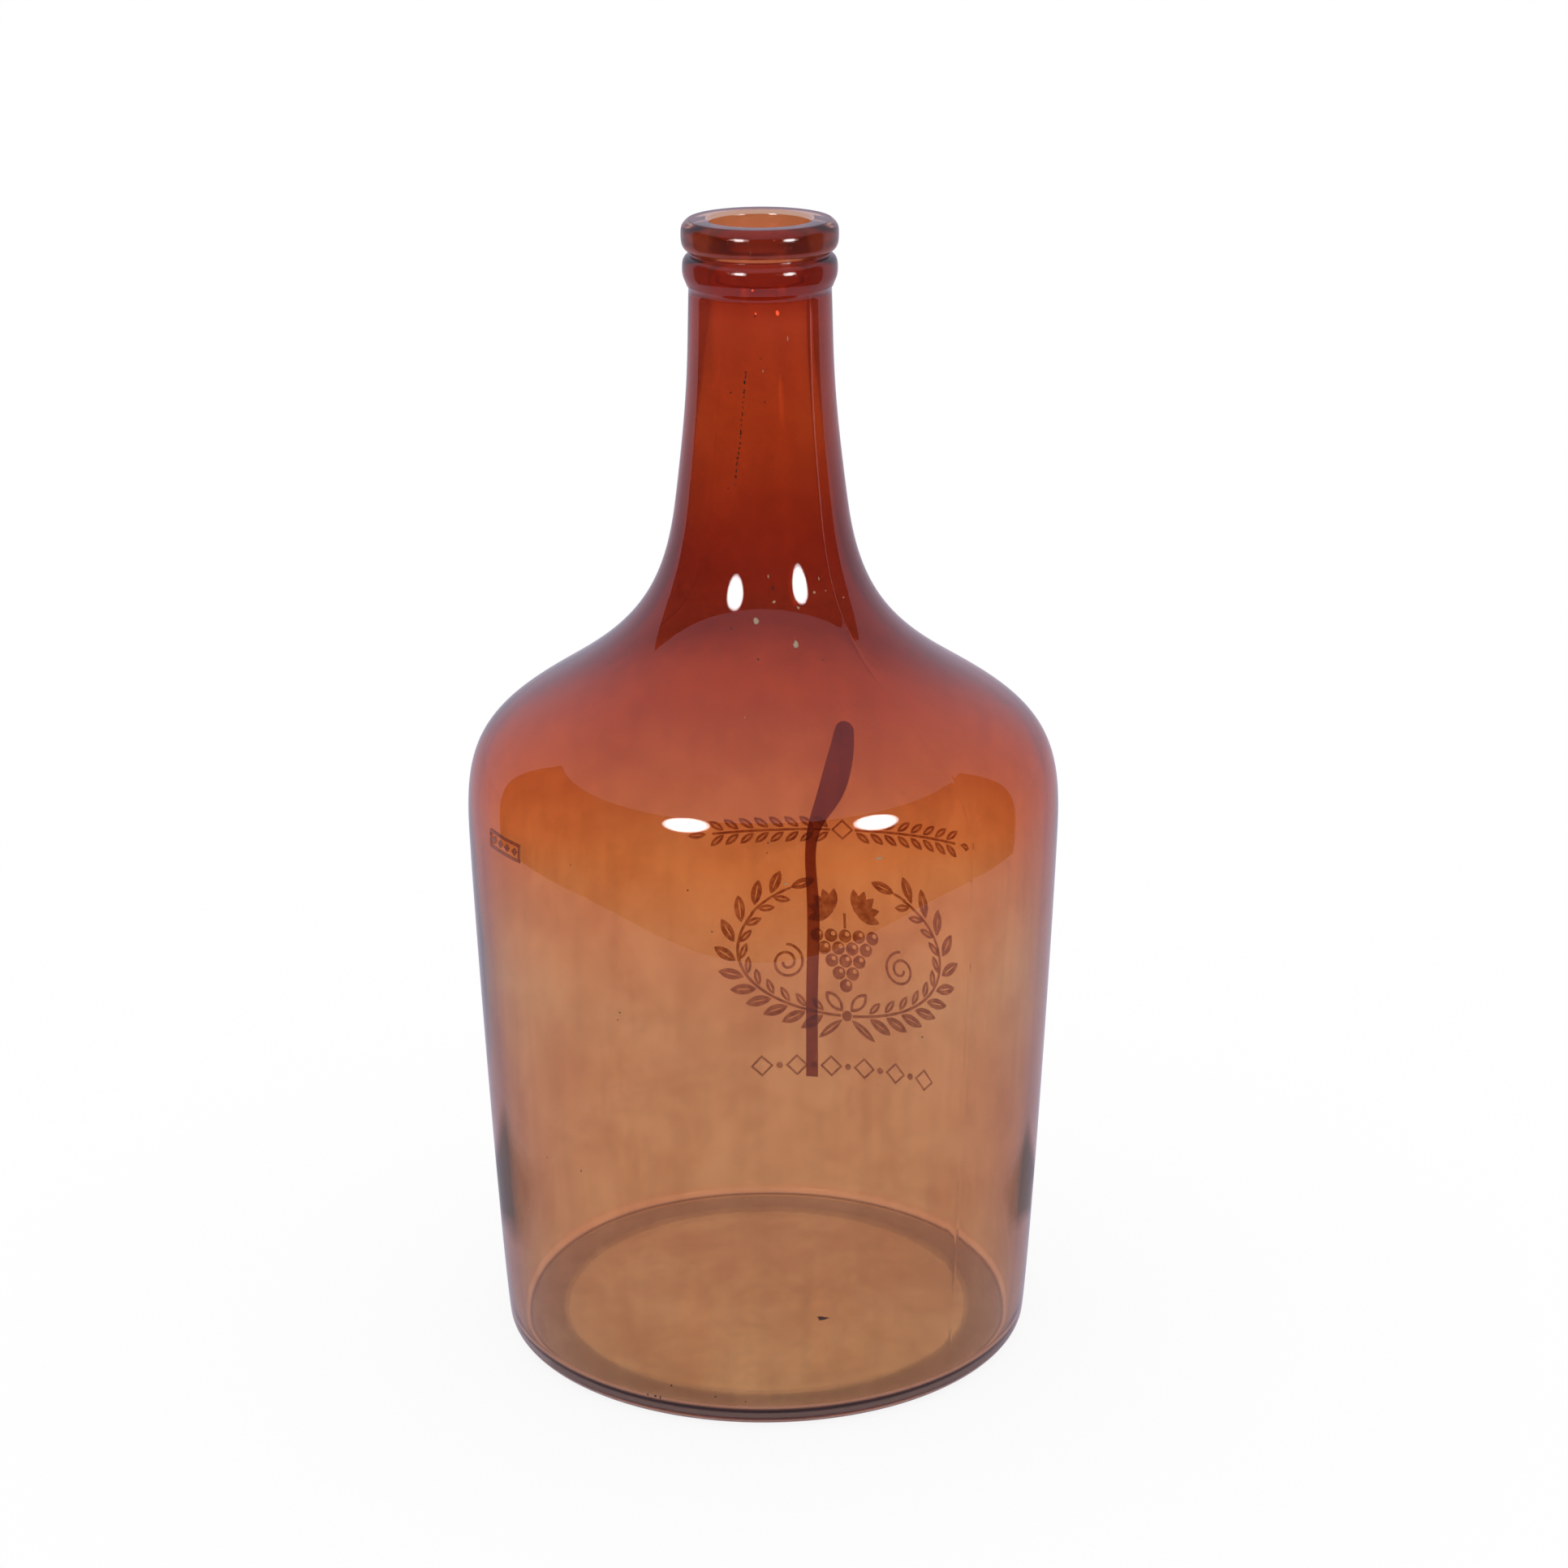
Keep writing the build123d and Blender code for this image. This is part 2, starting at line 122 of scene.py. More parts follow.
# Unevenness of the inner wall: size, seed, range of waves around, range of their rate upwards
WAVES = 9
RIPPLES = (0.22 * MM, 7, (1, 6), (8, 45))
FLUTES = (0.2 * MM, 11, (6, 15), (0, 6))
EVEN_UNDER_MOUTH = 20 * MM
EVEN_OVER_FLOOR = 40 * MM
ON_AXIS = 1e-6

# Fineness of the lathe work
TURNS = 216
CURVE_STEPS = 28
RING_STEPS = 20
ARC_STEPS = 10

# Specks and flecks: turn seen from the camera and height, then width and length, in millimetres
SPECKS = (
    (-24.7, 6.6, 0.9, 0.8), (-23.6, 6.4, 0.6, 1.2), (-26.6, 6.5, 0.5, 0.7),
    (-20.8, 11.4, 0.8, 0.7), (-11.1, 9.4, 0.5, 0.6), (-4.6, 8.3, 0.5, 0.5),
    (-40.3, 77.3, 0.5, 0.8), (-50.4, 76.9, 0.4, 0.7), (25.8, 225.9, 0.6, 0.6),
    (-1.8, 227.2, 0.6, 0.8), (-15.7, 234.7, 0.6, 0.6), (-14.2, 173.4, 0.5, 0.6),
    (31.8, 123.2, 0.5, 0.5), (-28.8, 132.6, 0.6, 0.5), (-4.6, 325.0, 0.5, 0.7),
    (-26.0, 302.4, 0.4, 0.6), (6.6, 246.0, 0.5, 1.4),
)
SPECK_SEED = 5
TRAIL_TOP = (-12.5, 309.0)
TRAIL_FOOT = (-20.0, 276.0)
TRAIL_DOTS = 26
TRAIL_STRAY = (0.3, 0.4)
TRAIL_SIZES = (0.25, 0.6)
TRAIL_STRETCH = (1, 2.6)
RANDOM_SPECKS = 70
RANDOM_SIZES = (0.18, 0.42)
RANDOM_HEIGHTS = (14, 325)
RANDOM_STRETCH = (0.8, 1.8)
CREAM_FLECKS = (
    (-3.2, 237.0, 1.6, 2.0), (15.5, 230.5, 1.7, 2.6), (6.8, 242.1, 1.0, 0.8),
    (20.1, 240.1, 1.0, 1.0), (31.6, 243.6, 0.8, 0.8), (39.7, 243.5, 0.4, 0.6),
    (3.8, 249.2, 0.4, 1.2), (36.7, 247.2, 0.4, 1.0), (51.2, 240.3, 0.6, 0.6),
    (24.0, 318.0, 0.3, 1.4), (2.0, 309.0, 0.3, 0.8), (22.0, 181.0, 2.4, 0.8),
    (4.0, 176.0, 1.2, 0.7), (-5.5, 214.0, 0.4, 0.5),
)
# Red glints, painted highlights made as small glowing blobs: turn, height, width and length
RED_PAINTED_GLINTS = ((-4.0, 325.6, 0.6, 0.8), (14.9, 325.8, 1.0, 1.6), (-6.5, 333.0, 0.8, 0.5))
BLOB_INSET = WALL - 0.3 * MM
BLOB_THICKNESS = 0.2 * MM
BLOB_TURNS = 8
BLOB_RINGS = 3
BLOB_RAGGED = 0.3
FLAKE_PLACE = (17.5, -21.2, 5.7)
FLAKE_SIZE = (1.7, 1.2, 0.12)
FLAKE_TURNS = 14
FLAKE_RINGS = 7

# The tint: its colour in linear light for one pass, by height, then clouds and streaks (dark
# and light colour, and where in the noise they start and end), and at the floor's corner a
# painted line of shade and a painted band of highlight
TINT_BY_HEIGHT = (
    (0.003, (0.77, 0.55, 0.34)),
    (0.060, (0.76, 0.47, 0.29)),
    (0.130, (0.81, 0.57, 0.38)),
    (0.180, (0.85, 0.35, 0.14)),
    (0.215, (0.53, 0.165, 0.10)),
    (0.250, (0.50, 0.12, 0.065)),
    (0.290, (0.67, 0.22, 0.09)),
    (0.335, (0.67, 0.21, 0.13)),
    (0.349, (0.82, 0.44, 0.24)),
)
TINT_CLOUDS = ((0.90, 0.83, 0.78), (1, 1, 1), 0.36, 0.60)
TINT_STREAKS = ((0.95, 0.94, 0.93), (1, 1, 1), 0.3, 0.6)
STREAK_STRETCH = (1, 1, 0.05)
CORNER_PAINTED_SHADE = (0.30, 0.17, 0.10)
CORNER_PAINTED_HIGHLIGHT = (0.88, 0.68, 0.53)
# Painted shade and painted highlight at the floor's corner, by distance outside the foot of
# the floor's corner in millimetres, colour and cover
CORNER_PAINTED_LINES = (
    (0.1, CORNER_PAINTED_SHADE, 0), (1.1, CORNER_PAINTED_SHADE, 1), (2, CORNER_PAINTED_HIGHLIGHT, 0.9),
    (2.9, CORNER_PAINTED_HIGHLIGHT, 0.9), (3.5, CORNER_PAINTED_HIGHLIGHT, 0),
)
CORNER_PAINTED_LINES_TOP = 10 * MM
RUN_COLOURS = ((0.25, 0.07, 0.035), (0.42, 0.16, 0.07), 0.3, 0.7)
RUN_STRETCH = (1, 1, 0.25)

# Clear glass: amber by height in the thick mouth, haze in the rings, matt where it is worn on
# the table, painted contact shadow in grey on the bearing ring, a painted brown tone for the
# heel's light line, and a slight cast that varies
GLASS_IOR = 1.51
MATCHED_IOR = 1.0
MOUTH_AMBER = (
    (0.322, (1, 1, 1)),
    (0.332, (0.74, 0.50, 0.42)),
    (0.344, (0.66, 0.40, 0.31)),
    (0.350, (0.54, 0.31, 0.22)),
)
MOUTH_ROUGHNESS = 0.16
RING_ROUGHNESS = 0.55
WORN_HEIGHT = 0.1 * MM
# Painted contact shadow in grey on the bearing ring, and a painted tone for the heel's light line
RING_PAINTED_SHADOW = (0.78, 0.75, 0.80)
HEEL_PAINTED_LIGHT_TONE = (1.0, 0.82, 0.70)
BAND_FADE = 2 * MM
GLASS_CAST = ((0.93, 0.935, 0.95), (0.99, 0.99, 0.995))
# The raised mark's browns are painted shade for its thick, darker-looking edges
MARK_PAINTED_SHADE = ((0.42, 0.20, 0.12), (0.62, 0.34, 0.22))
MARK_ROUGHNESS = 0.12

# Ink and specks: how much light the ink lets through, its cover where it is full and worn
INK_THROUGH = 0.85
INK_COLOURS = ((0.22, 0.045, 0.006), (0.42, 0.11, 0.022))
INK_NOISE_SPAN = (0.32, 0.62)
INK_COVER = (0.82, 0.45)
SPECK_ROUGHNESS = 0.6
SPECK_BROWN = ((0.012, 0.005, 0.004), (0.05, 0.016, 0.01))
FLECK_CREAM = ((0.75, 0.42, 0.22), (0.95, 0.72, 0.48))
# Painted highlights: the red glints' colours, their glow and its strength
GLINT_PAINTED_RED = ((0.7, 0.06, 0.02), (0.95, 0.16, 0.06))
GLINT_PAINTED_GLOW = (1, 0.1, 0.03)
GLINT_PAINTED_GLOW_STRENGTH = 0.8

# The floor, and the light that shows in gloss alone: the violet room, the dark room, the dark
# things on the table and the two softboxes. "Within" is the level for light inside the glass.
FLOOR_REACH = 12
FLOOR_DROP = 0.1 * MM
FLOOR_GREY = (0.12, 0.12, 0.12)
FLOOR_GLOW = (0.88, 0.88, 0.88)
FLOOR_GLOSS = (0.50, 0.44, 0.53)
ROOM_GLOSS = (0.60, 0.54, 0.67)
CARDS_MIDDLE = 0.2
DARK_ROOM_GLOSS = 0.07
DARK_ROOM_WITHIN = 0.42
DARK_ROOM_SPAN = (-113, 104)
DARK_ROOM_NEAR = 0.41
DARK_ROOM_DEEPER = 0.16
DARK_ROOM_SIDE = 100
DARK_ROOM_TOP = 38
DARK_ROOM_FOOT = 1 * MM
DARK_ROOM_STEPS = 60
SHADE_GLOSS = 0.36
SHADE_BLUE = (0.75, 0.82, 1)
SHADE_WAVE = 0.006
SHADE_BEND = 0.4
SHADE_SOFT_SHARE = 0.3
SHADE_LIFT = 0.5 * MM
SHADE_ROWS = 24
# Name, side (-1 left, 1 right), near and far edge, and its start and end towards the back
FLOOR_SHADES = (
    ("floor_shade_left", -1, 0.125, 0.20, 0, 0.12),
    ("floor_shade_right", 1, 0.128, 0.18, 0.01, 0.11),
)
SOFTBOX_GLOSS = 26
SOFTBOX_WITHIN = 6.5
SOFTBOX_DISTANCE = 0.44
SOFTBOX_WIDTH = 0.13
SOFTBOX_TURNS = 32
# Share of the softbox's radius and how fully it covers there
SOFTBOX_RINGS = ((0.4, 1), (0.75, 1), (0.9, 0.5), (1, 0))
# Name, azimuth from the camera to the right, elevation
SOFTBOXES = (("softbox_left", -30, 30), ("softbox_right", 43, 26))

# The photo's camera: its turn about the bottle, distance from the axis, height, tilts and lens
VIEW_TURN = -161.3
CAMERA_DISTANCE = 1.03741
CAMERA_HEIGHT = 0.52323
CAMERA_PITCH = 18.482
CAMERA_YAW = 0.350
CAMERA_ROLL = -0.261
CAMERA_LENS = 82.01
CAMERA_SENSOR = 36
CAMERA_CLIP = 0.01

# Bounces that both walls with their tint and films need
BOUNCES = 48
CLEAR_BOUNCES = 64


def lean_way(lean):
    """Direction (radius, height) of a curve that leans inwards by an angle from the vertical."""
    return np.array((-sin(radians(lean)), cos(radians(lean))))


def bezier(start, out, back, end, steps):
    """Cubic curve through its ends: p(t) = s^3 start + 3 s^2 t out + 3 s t^2 back + t^3 end."""
    t = np.linspace(0, 1, steps + 1)[:, None]
    s = 1 - t
    start, out, back, end = (np.array(point, float) for point in (start, out, back, end))
    return s**3 * start + 3 * s**2 * t * out + 3 * s * t**2 * back + t**3 * end


def leaning(low, low_lean, high, high_lean, holds, steps=CURVE_STEPS):
    """Cubic curve from low to high that starts and ends along its leans."""
    low, high = np.array(low, float), np.array(high, float)
    way = np.linalg.norm(high - low)
    out = low + lean_way(low_lean) * way * holds[0]
    back = high - lean_way(high_lean) * way * holds[1]
    return bezier(low, out, back, high, steps)


def arc(middle, radius, start, end, steps=ARC_STEPS):
    """Part of a circle: middle + radius (cos a, sin a), a from start to end in degrees."""
    a = np.radians(np.linspace(start, end, steps + 1))
    return np.array(middle) + radius * np.stack((np.cos(a), np.sin(a)), 1)


def joints(inset):
    """Where the curves of the side meet, moved into the glass by inset."""
    foot_height = HEEL_RADIUS * (1 + sin(radians(FOOT_LEAN)))
    outer = (
        (FOOT_RADIUS, foot_height, FOOT_LEAN),
        (BODY_RADIUS, BODY_HEIGHT, 0),
        SHOULDER,
        FLARE,
        (NECK_RADIUS, STRING_FOOT, NECK_LEAN),
    )
    return [
        ((r - inset * cos(radians(lean)), z - inset * sin(radians(lean))), lean)
        for r, z, lean in outer
    ]


def side(places):
    """The side of the bottle, upwards through its joints, without the last point."""
    runs = [
        leaning(*low, *high, holds)[:-1]
        for low, high, holds in zip(places, places[1:], HOLD_SHARES)
    ]
    return np.vstack(runs)


def underside():
    """From the axis over the shallow dome to the bearing ring and round the heel.

    The dome is rise + crown (1 - t^2)^1.5, and its step falls as 1 - t^2 (3 - 2t).
    """
    bearing = FOOT_RADIUS - HEEL_RADIUS * cos(radians(FOOT_LEAN))
    reach = bearing - BEARING_WIDTH - DOME_STEP
    dome = np.linspace(0, 1, CURVE_STEPS)[:, None]
    crown = np.hstack((reach * dome, DOME_RISE + DOME_CROWN * (1 - dome**2) ** DOME_POWER))
    step = np.linspace(0, 1, ARC_STEPS + 1)[1:, None]
    ease = step**2 * (3 - 2 * step)
    fall = np.hstack((reach + DOME_STEP * step, DOME_RISE * (1 - ease)))
    heel = arc((bearing, HEEL_RADIUS), HEEL_RADIUS, -90, FOOT_LEAN)[:-1]
    return np.vstack((crown, fall, heel))


def ring_profile(foot, foot_z, crest, crest_z, top, top_z, leans):
    """A ring: one leaning curve out to its crest and one back to its top."""
    low = leaning((foot, foot_z), leans[0], (crest, crest_z), 0, RING_HOLDS, RING_STEPS)[:-1]
    high = leaning((crest, crest_z), 0, (top, top_z), leans[1], RING_HOLDS, RING_STEPS)
    return np.vstack((low, high))


def mouth():
    """Both rings, the rounded land and the mouth's rounding, down to the bore."""
    string_crest = STRING_FOOT + (STRING_TOP - STRING_FOOT) * STRING_CREST_SHARE
    string = ring_profile(NECK_RADIUS + STRING_STEP, STRING_FOOT, STRING_RADIUS, string_crest,
                          SLEEVE_RADIUS, STRING_TOP, STRING_LEANS)
    lip_crest = LIP_FOOT + (HEIGHT - LIP_FOOT) * LIP_CREST_SHARE
    lip = ring_profile(SLEEVE_RADIUS, LIP_FOOT, LIP_RADIUS, lip_crest,
                       LAND_RADIUS, HEIGHT - LAND_ROUNDING / 2, LIP_LEANS)
    land = arc((LAND_RADIUS - LAND_ROUNDING, HEIGHT - LAND_ROUNDING), LAND_ROUNDING,
               LAND_START, 90)
    rounding = arc((BORE_RADIUS + MOUTH_ROUNDING, HEIGHT - MOUTH_ROUNDING), MOUTH_ROUNDING,
                   90, 180)
    neck_top = np.array(((NECK_RADIUS, STRING_FOOT),))
    return np.vstack((neck_top, string, lip, land, rounding))


def inside():
    """From the bore's top down the inner wall, round the corner and over the floor to the axis."""
    places = joints(WALL + TINT_COVER)
    floor_height = BASE_THICKNESS + TINT_COVER
    wall_foot = places[0][0][0]
    reach = wall_foot - FLOOR_CORNER * cos(radians(FOOT_LEAN))
    corner = arc((reach, floor_height + FLOOR_CORNER), FLOOR_CORNER, FOOT_LEAN, -90)
    bore_foot = (BORE_RADIUS, HEIGHT - BORE_LENGTH)
    places = [(tuple(corner[0]), FOOT_LEAN)] + places[1:4] + [(bore_foot, 0)]
    wall = side(places)[::-1]
    middle = floor_height + FLOOR_CROWN
    near, far = (reach * share for share in FLOOR_HOLD_SHARES)
    crown = bezier((reach, floor_height), (far, floor_height), (near, middle), (0, middle),
                   CURVE_STEPS)
    return np.vstack((np.array((bore_foot,)), wall, corner[1:], crown[1:]))


def new_object(name, points, faces):
    """A linked mesh object from its points and faces."""
    mesh = bpy.data.meshes.new(name)
    mesh.from_pydata(points, [], faces)
    made = bpy.data.objects.new(name, mesh)
    scene.collection.objects.link(made)
    return made


def closed_grid(name, points):
    """Mesh of a grid of rings (rings, turns, 3) whose first and last rings are poles."""
    rings, turns = points.shape[:2]
    body = points[1:-1].reshape(-1, 3)
    poles = np.vstack((points[0, 0], points[-1, 0]))
    across = np.arange(turns)
    ahead = (across + 1) % turns
    up = np.arange(rings - 3)[:, None] * turns
    quads = np.stack((up + across, up + ahead, up + turns + ahead, up + turns + across), -1)
    first = len(body)
    top = (rings - 3) * turns
    fan = np.stack((np.full(turns, first), ahead, across), -1)
    cap = np.stack((np.full(turns, first + 1), top + across, top + ahead), -1)
    faces = quads.reshape(-1, 4).tolist() + fan.tolist() + cap.tolist()
    piece = new_object(name, np.vstack((body, poles)), faces)
    piece.data.shade_smooth()
    return piece


def seam_angles():
    """Even angles round the axis, with close ones added across both ridges of the seam."""
    even = np.linspace(0, 2 * pi, TURNS, endpoint=False)
    width = SEAM_WIDTH / BODY_RADIUS
    close = np.linspace(-SEAM_REACH, SEAM_REACH, SEAM_LINES) * width / 2
    both = [radians(SEAM_TURN - 90) + close, radians(SEAM_TURN + 90) + close]
    every = np.concatenate([even] + both) % (2 * pi)
    every = np.unique(np.round(every, 5))
    return every[np.concatenate(([True], np.diff(every) > width * SEAM_CLOSEST))]


def seam_relief(angle, radius, height):
    """Height of the seam's ridge: a bell across it, fading out over the heel and at the rings."""
    relief = np.zeros_like(radius * angle)
    for turn in (SEAM_TURN - 90, SEAM_TURN + 90):
        off = (angle - radians(turn) + pi) % (2 * pi) - pi
        relief += np.exp(-((off * radius / (SEAM_WIDTH / 2)) ** 2))
    low = np.clip(height / (2 * HEEL_RADIUS), 0, 1)
    high = np.clip((STRING_FOOT - height) / HEEL_RADIUS, 0, 1)
    fresh = SEAM_WORN_SHARE + (1 - SEAM_WORN_SHARE) * share_up_the_neck(height)
    return SEAM_RELIEF * relief * low * high * fresh


def share_up_the_neck(height):
    """Zero below the shoulder's joint, one above the flare's, even between."""
    return np.clip((height - SHOULDER[1]) / (FLARE[1] - SHOULDER[1]), 0, 1)


def waves(angle, height, size, seed, around, along):
    """Unevenness of blown glass: a sum of waves, whole turns around and slow along the axis."""
    draw = np.random.default_rng(seed)
    total = np.zeros_like(angle * height)
    for _ in range(WAVES):
        turns = draw.integers(*around)
        rate = draw.uniform(*along)
        total += np.sin(turns * angle + draw.uniform(0, 2 * pi) + rate * height)
    return size * total / WAVES


def bottle_glass():
    """One closed skin of glass: r(a, s) = outline + seam on the outside, + waves within."""
    outside = np.vstack((underside(), side(joints(0)), mouth()))
    outline = np.vstack((outside, inside()))
    angle = seam_angles()[None, :]
    radius = outline[:, :1]
    height = outline[:, 1:]
    is_outside = (np.arange(len(outline)) < len(outside))[:, None]
    swell = seam_relief(angle, radius, height)
    wave = waves(angle, height, *RIPPLES)
    wave += waves(angle, height, *FLUTES) * share_up_the_neck(height)
    free = np.clip((STRING_FOOT - height) / EVEN_UNDER_MOUTH, 0, 1)
    free = free * np.clip(height / EVEN_OVER_FLOOR, 0, 1)
    reach = radius + np.where(is_outside, swell, wave * free)
    reach = np.where(radius < ON_AXIS, 0, reach)
    points = np.stack((reach * np.cos(angle), reach * np.sin(angle), height + 0 * angle), -1)
    piece = closed_grid("bottle_glass", points)
    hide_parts("glass_body", "lip_ring", "string_ring", "mould_seams")
    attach(piece, "root")
    return piece


def blobs(name, places):
    """Small flat blobs in the wall.

    p = middle + across w cos a sin b + up h sin a sin b + out t cos b, with a ragged rim.
    Each place is (turn seen from the camera, height, width, length) in degrees and millimetres.
    """
    turn, height, width, length = np.array(places, float).T
    height, width, length = height * MM, width * MM, length * MM
    outline = side(joints(BLOB_INSET))
    radius = np.interp(height, outline[:, 1], outline[:, 0])
    lean = np.arctan2(np.interp(height + MM, outline[:, 1], outline[:, 0]) - radius, MM)
    turn = np.radians(turn + VIEW_TURN - 90)
    zero = np.zeros_like(turn)
    round_axis = np.stack((np.cos(turn), np.sin(turn), zero), 1)
    across = np.stack((-np.sin(turn), np.cos(turn), zero), 1)
    upright = np.array((0, 0, 1))
    up = round_axis * np.sin(lean)[:, None] + upright * np.cos(lean)[:, None]
    out = np.cross(across, up)
    middle = round_axis * radius[:, None] + upright * height[:, None]
    a = np.linspace(0, 2 * pi, BLOB_TURNS, endpoint=False)
    b = np.linspace(0, pi, BLOB_RINGS + 2)[1:-1]
    draw = np.random.default_rng(len(places))
    ragged = 1 + BLOB_RAGGED * draw.uniform(-1, 1, (len(places), 1, BLOB_TURNS))
    flat_x = np.sin(b)[None, :, None] * np.cos(a)[None, None, :] * ragged / 2
    flat_y = np.sin(b)[None, :, None] * np.sin(a)[None, None, :] * ragged / 2
    rise = np.cos(b)[None, :, None] * np.ones_like(flat_x) * BLOB_THICKNESS / 2
    rings = (middle[:, None, None, :]
             + across[:, None, None, :] * (flat_x * width[:, None, None])[..., None]
             + up[:, None, None, :] * (flat_y * length[:, None, None])[..., None]
             + out[:, None, None, :] * rise[..., None])
    tips = BLOB_THICKNESS / 2 * np.array((1, -1))
    poles = middle[:, None, :] + out[:, None, :] * tips[None, :, None]
    points = np.concatenate((rings.reshape(len(places), -1, 3), poles), 1)
    faces = [tuple(k * points.shape[1] + corner for corner in face)
             for k in range(len(places)) for face in blob_faces()]
    piece = new_object(name, points.reshape(-1, 3), faces)
    piece.data.shade_smooth()
    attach(piece, "root")
    return piece


def blob_faces():
    """The faces of one blob: fans at its outer and its inner pole, and quads between rings."""
    turns = BLOB_TURNS
    last = (BLOB_RINGS - 1) * turns
    pole = BLOB_RINGS * turns
    faces = []
    for i in range(turns):
        ahead = (i + 1) % turns
        faces.append((i, ahead, pole))
        faces.append((last + ahead, last + i, pole + 1))
        for low in range(0, last, turns):
            faces.append((low + turns + i, low + turns + ahead, low + ahead, low + i))
    return faces


def floor_flake():
    """A flake of tint on the floor, a flat ragged ball.

    x = cx + w r sin b cos a, y = cy + d r sin b sin a, z = cz + t cos b, and its rim is
    r = 1 + 0.25 sin(3a + 1) + 0.15 sin 5a.
    """
    a = np.linspace(0, 2 * pi, FLAKE_TURNS, endpoint=False)[None, :]
    b = np.linspace(pi, 0, FLAKE_RINGS)[:, None]
    ragged = 1 + 0.25 * np.sin(3 * a + 1) + 0.15 * np.sin(5 * a)
    across, deep, thick = (size * MM for size in FLAKE_SIZE)
    grid = np.stack((across * ragged * np.sin(b) * np.cos(a),
                     deep * ragged * np.sin(b) * np.sin(a),
                     thick * np.cos(b) + 0 * a), -1)
    points = turned(grid.reshape(-1, 3)) + turned(np.array(FLAKE_PLACE) * MM)
    piece = closed_grid("floor_flake", points.reshape(grid.shape))
    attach(piece, "root")
    return piece


def scattered_specks():
    """Dark specks in the glass: a dotted trail down the neck, some listed, the rest at random."""
    draw = np.random.default_rng(SPECK_SEED)
    places = list(SPECKS)
    for share in np.linspace(0, 1, TRAIL_DOTS):
        place = [top + (foot - top) * share + draw.normal(0, stray)
                 for top, foot, stray in zip(TRAIL_TOP, TRAIL_FOOT, TRAIL_STRAY)]
        size = draw.uniform(*TRAIL_SIZES)
        places.append((*place, size, size * draw.uniform(*TRAIL_STRETCH)))
    for _ in range(RANDOM_SPECKS):
        size = draw.uniform(*RANDOM_SIZES)
        place = (draw.uniform(-180, 180), draw.uniform(*RANDOM_HEIGHTS))
        places.append((*place, size, size * draw.uniform(*RANDOM_STRETCH)))
    return blobs("dark_specks", places)


def new_material(name):
    """A node material with its Principled shader."""
    material = bpy.data.materials.new(name)
    material.use_nodes = True
    return material, material.node_tree.nodes["Principled BSDF"]


def see_through(name, ior, roughness=0, through=1):
    """A node material that lets light through, with its Principled shader."""
    material, shader = new_material(name)
    shader.inputs["Transmission Weight"].default_value = through
    shader.inputs["Roughness"].default_value = roughness
    shader.inputs["IOR"].default_value = ior
    return material, shader


def node(material, kind, **values):
    """A node with its plain properties and, by name, its inputs set."""
    made = material.node_tree.nodes.new(kind)
    for name, value in values.items():
        if name in made.inputs:
            made.inputs[name].default_value = value
        else:
            setattr(made, name, value)
    return made


def wire(material, *pairs):
    """Links sockets in pairs, from and to."""
    for i in range(0, len(pairs), 2):
        material.node_tree.links.new(pairs[i], pairs[i + 1])


def own_place(material):
    """The place on the piece itself, in metres."""
    return node(material, "ShaderNodeTexCoord").outputs["Object"]


def stretched(material, place, scale):
    """The place with each axis scaled, which draws a pattern out along the small ones."""
    stretch = node(material, "ShaderNodeMapping")
    stretch.inputs["Scale"].default_value = scale
    wire(material, place, stretch.inputs[0])
    return stretch.outputs[0]


def split_up(material, place):
    """The X, Y and Z of a place."""
    split = node(material, "ShaderNodeSeparateXYZ")
    wire(material, place, split.inputs[0])
    return split.outputs


def noise(material, place, **values):
    """The share, from 0 to 1, of a noise pattern at a place."""
    cloud = node(material, "ShaderNodeTexNoise", **values)
    wire(material, place, cloud.inputs["Vector"])
    return cloud.outputs["Fac"]


def calculated(material, operation, first, second):
    """The result of a sum on a socket and a second socket or number."""
    made = node(material, "ShaderNodeMath", operation=operation)
    wire(material, first, made.inputs[0])
    if isinstance(second, (int, float)):
        made.inputs[1].default_value = second
    else:
        wire(material, second, made.inputs[1])
    return made.outputs[0]


def ranged(material, value, start, end, at_start, at_end, **kind):
    """A value that goes from at_start to at_end as another goes from start to end."""
    made = node(material, "ShaderNodeMapRange", **kind)
    for name, number in (("From Min", start), ("From Max", end),
                         ("To Min", at_start), ("To Max", at_end)):
        made.inputs[name].default_value = number
    wire(material, value, made.inputs["Value"])
    return made.outputs[0]


def ramp(material, share, stops):
    """Colour and alpha outputs of a ramp whose stops are (position, colour, alpha)."""
    made = node(material, "ShaderNodeValToRGB")
    elements = made.color_ramp.elements
    while len(elements) < len(stops):
        elements.new(0.5)
    for element, (position, colour, alpha) in zip(elements, stops):
        element.position = position
        element.color = (*colour, alpha)
    wire(material, share, made.inputs[0])
    return made.outputs["Color"], made.outputs["Alpha"]


def between(material, share, dark, light, start=0, end=1):
    """A colour that goes from dark to light as a share goes from start to end."""
    return ramp(material, share, ((start, dark, 1), (end, light, 1)))[0]


def by_height(material, place, stops):
    """A colour by height, from stops of (height, colour)."""
    share = calculated(material, "DIVIDE", split_up(material, place)["Z"], HEIGHT)
    return ramp(material, share, [(height / HEIGHT, colour, 1) for height, colour in stops])[0]


def mixed(material, share, low, high):
    """A colour between two others, each of them a socket or plain numbers."""
    made = node(material, "ShaderNodeMix", data_type="RGBA")
    wire(material, share, made.inputs[0])
    for socket, colour in ((made.inputs[6], low), (made.inputs[7], high)):
        if isinstance(colour, tuple):
            socket.default_value = (*colour, 1)
        else:
            wire(material, colour, socket)
    return made.outputs[2]


def multiplied(material, first, second):
    """The product of two colour outputs."""
    product = node(material, "ShaderNodeMix", data_type="RGBA", blend_type="MULTIPLY")
    product.inputs[0].default_value = 1
    wire(material, first, product.inputs[6], second, product.inputs[7])
    return product.outputs[2]


